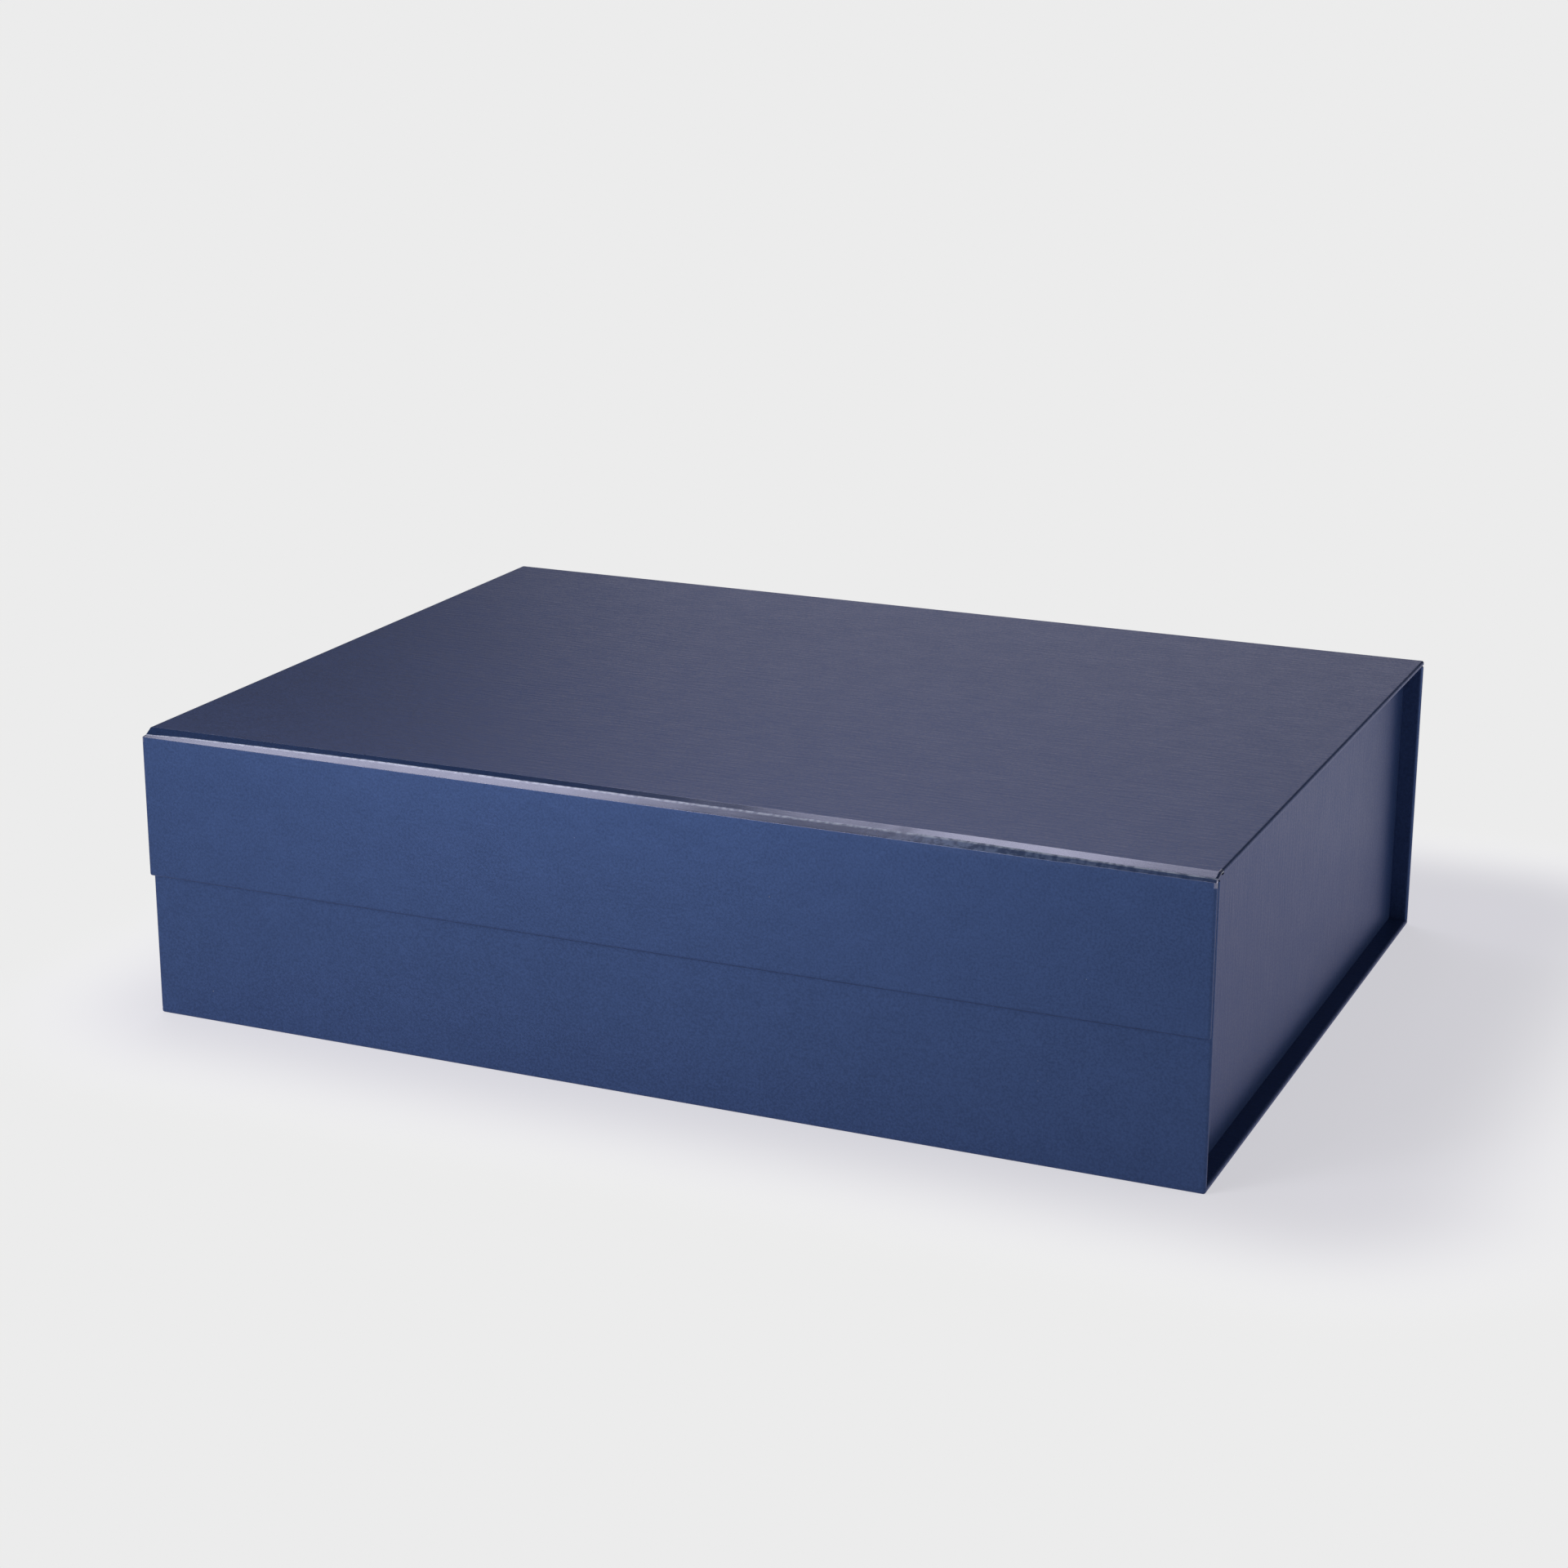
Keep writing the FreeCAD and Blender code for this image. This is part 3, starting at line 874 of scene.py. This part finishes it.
# The camera's place, its turn to the left, down and about its own axis in degrees, and its lens
CAMERA_PLACE = (0.5024, -1.1768, 0.4733)
CAMERA_TURN = (23.609, 16.957, 0.188)
CAMERA_LENS, CAMERA_SENSOR = 71.956, 36.0


def seen_directly(tree):
    """1 for rays that show the background: from the camera, off gloss, or through glass."""
    path = add_node(tree, "ShaderNodeLightPath").outputs
    seen = math_node(tree, "MAXIMUM", path["Is Camera Ray"], path["Is Glossy Ray"])
    return math_node(tree, "MAXIMUM", seen, path["Is Transmission Ray"])


def beyond_box(tree):
    """Socket of the distance on the floor from the box's outline, shifted as its shadow is.

    The outline is centred on the frame's origin.
    """
    high = cad_box[1]
    flat = add_node(tree, "ShaderNodeSeparateXYZ", None, {0: object_place(tree)})
    beyond = []
    for axis in (0, 1):
        shifted = math_node(tree, "SUBTRACT", flat.outputs[axis], SHADOW_SHIFT[axis])
        past = math_node(tree, "SUBTRACT", math_node(tree, "ABSOLUTE", shifted), high[axis])
        beyond.append(math_node(tree, "MAXIMUM", past, 0.0))
    gap = add_node(tree, "ShaderNodeCombineXYZ", None, {0: beyond[0], 1: beyond[1]})
    length = add_node(tree, "ShaderNodeVectorMath", {"operation": "LENGTH"}, {0: gap.outputs[0]})
    return length.outputs["Value"]


def build_floor():
    material = new_material("studio_floor")
    tree = material.node_tree
    clear = ranged(tree, beyond_box(tree), 0.0, SHADOW_REACH)
    matte = add_node(tree, "ShaderNodeBsdfDiffuse", None, {"Color": (*FLOOR_COLOUR, 1)})
    tint = blend_colour(tree, clear, FLOOR_NEAR, (PALE, PALE, PALE))
    glow = add_node(tree, "ShaderNodeEmission", None, {"Color": tint, "Strength": 1.0})
    share = ranged(tree, clear, 0.0, 1.0, 1 - SHADOW_SHARE, 1.0)
    factor = math_node(tree, "MULTIPLY", seen_directly(tree), share)
    inputs = {0: factor, 1: matte.outputs[0], 2: glow.outputs[0]}
    mixed = add_node(tree, "ShaderNodeMixShader", None, inputs)
    add_node(tree, "ShaderNodeOutputMaterial", None, {"Surface": mixed.outputs[0]})
    material.cycles.emission_sampling = "NONE"  # its glow is only seen, and lights nothing
    mesh = bmesh.new()
    bmesh.ops.create_grid(mesh, x_segments=1, y_segments=1, size=FLOOR_SIZE / 2)
    floor = make_piece("studio_floor", mesh, [material])
    floor.location.z = -FLOOR_BELOW


def build_world():
    """Even light from all sides, and the backdrop for the rays that show the background."""
    world = bpy.data.worlds.new("studio_world")
    world.use_nodes = True
    tree = world.node_tree
    tree.nodes.clear()
    inputs = {"Color": (1, 1, 1, 1), "Strength": AROUND_STRENGTH}
    even = add_node(tree, "ShaderNodeBackground", None, inputs)
    toward = add_node(tree, "ShaderNodeTexCoord").outputs["Generated"]
    toward = add_node(tree, "ShaderNodeSeparateXYZ", None, {0: toward})
    turn = math_node(tree, "ARCTAN2", toward.outputs[0], toward.outputs[1])
    lit = ranged(tree, toward.outputs[1], *BACKDROP_FRONT)
    for middle, half_width in BACKDROP_GAPS:
        off = math_node(tree, "ABSOLUTE", math_node(tree, "SUBTRACT", turn, math.radians(middle)))
        start, end = math.radians(half_width), math.radians(half_width + BACKDROP_SOFT)
        lit = math_node(tree, "MULTIPLY", lit, ranged(tree, off, start, end))
    mirrored = ranged(tree, lit, 0.0, 1.0, BACKDROP_DARK, BACKDROP_BRIGHT)
    low_end, high_end = (math.sin(math.radians(d)) for d in BACKDROP_TOP)
    fading = ranged(tree, toward.outputs[2], low_end, high_end, 1.0, ABOVE_BACKDROP)
    mirrored = math_node(tree, "MULTIPLY", mirrored, fading)
    camera = add_node(tree, "ShaderNodeLightPath").outputs["Is Camera Ray"]
    brightness = math_node(tree, "MAXIMUM", camera, mirrored)
    inputs = {"Color": (PALE, PALE, PALE, 1), "Strength": brightness}
    shown = add_node(tree, "ShaderNodeBackground", None, inputs)
    inputs = {0: seen_directly(tree), 1: even.outputs[0], 2: shown.outputs[0]}
    mixed = add_node(tree, "ShaderNodeMixShader", None, inputs)
    add_node(tree, "ShaderNodeOutputWorld", None, {"Surface": mixed.outputs[0]})
    world.cycles.sampling_method = "NONE"
    bpy.context.scene.world = world


def add_softbox(name, place, size, radiance, width=None, target=(0, 0, 0.06), colour=(1, 1, 1)):
    """Area light that faces target, square unless it has a width; radiance 1 looks white."""
    data = bpy.data.lights.new(name, "AREA")
    data.shape = "RECTANGLE"
    data.size = width or size
    data.size_y = size
    data.energy = radiance * math.pi * data.size * data.size_y
    data.color = colour
    light = bpy.data.objects.new(name, data)
    light.location = place
    light.rotation_euler = (Vector(target) - Vector(place)).to_track_quat("-Z", "Y").to_euler()
    light.visible_camera = False
    bpy.context.scene.collection.objects.link(light)


def around(azimuth, elevation, distance):
    """Place at that distance from the box; azimuth 0 is in front and 90 to the right."""
    turn, rise = math.radians(azimuth), math.radians(elevation)
    level = Vector((math.sin(turn), -math.cos(turn), 0)) * math.cos(rise)
    return (level + Vector((0, 0, math.sin(rise)))) * distance


def build_lights():
    add_softbox("front", around(-19, 11, 0.95), size=0.42, radiance=6.2)
    add_softbox("front_left", (-0.54, -0.86, 0.57), size=0.4, radiance=5.7)
    # A long lamp behind the box and to its left, which the fold mirrors
    place, target = (-0.37, 0.4, 0.7), (-0.37, -0.163, 0.12)
    bluish = (0.94, 0.97, 1.1)
    add_softbox("rear_left", place, size=0.2, radiance=2.7, width=1.0, target=target, colour=bluish)
    add_softbox("right", around(90, 3, 0.85), size=0.3, radiance=5.6)


def build_camera():
    data = bpy.data.cameras.new("camera")
    data.sensor_width = CAMERA_SENSOR
    data.lens = CAMERA_LENS
    data.clip_end = 2 * FLOOR_SIZE
    camera = bpy.data.objects.new("camera", data)
    camera.location = CAMERA_PLACE
    left, down, roll = (math.radians(angle) for angle in CAMERA_TURN)
    camera.rotation_mode = "XYZ"
    camera.rotation_euler = (math.pi / 2 - down, 0, left)
    camera.rotation_euler.rotate_axis("Z", roll)
    bpy.context.scene.collection.objects.link(camera)
    bpy.context.scene.camera = camera


build_floor()
build_world()
build_lights()
build_camera()
bpy.context.scene.view_settings.view_transform = "Standard"
